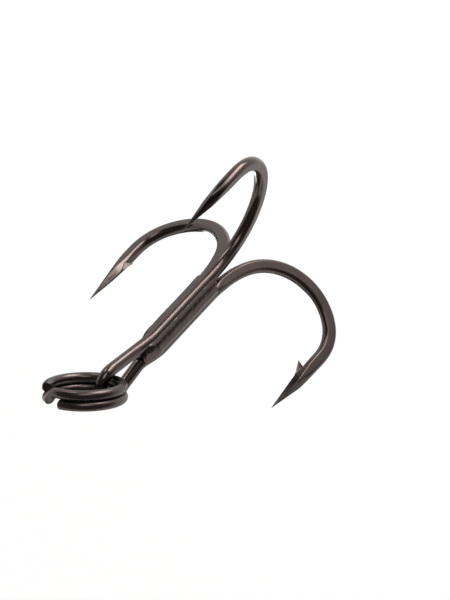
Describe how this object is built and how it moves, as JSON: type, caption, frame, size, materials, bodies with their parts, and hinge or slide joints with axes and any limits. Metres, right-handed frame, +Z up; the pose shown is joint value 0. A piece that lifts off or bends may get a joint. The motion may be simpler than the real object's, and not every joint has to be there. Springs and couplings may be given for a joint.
{
  "type": "treble hook",
  "caption": "Barbed treble hook of brazed wire with a bent-wire eye, hanging from a split ring that fastens it to a fishing lure.",
  "frame": {"origin": "centre of the split ring's hole, midway between its two turns", "axes": "+Z up along the hook's shank, from the bends to the eye, as the hook hangs; the ring leans in the XZ plane towards +X, and the hook swings about a line along +Y where the ring passes through the eye"},
  "size_m": [0.0189, 0.017, 0.025],
  "materials": {
    "hook_plating": "bright black nickel plating over high-carbon steel wire",
    "braze_plating": "black nickel plating over braze, slightly lumpy",
    "ring_plating": "bright black nickel plating over spring steel wire"
  },
  "bodies": {
    "ring": {"split_ring": "ring_plating"},
    "hook": {"double_hook_wire": "hook_plating", "single_hook_wire": "hook_plating", "braze": "braze_plating"}
  },
  "joints": [
    {"name": "hook_swing", "type": "hinge", "parent": "ring", "child": "hook", "pos_m": [-0.00138, 0, -0.00243], "axis": [0, 1, 0], "range_deg": [-115, 174]}
  ]
}
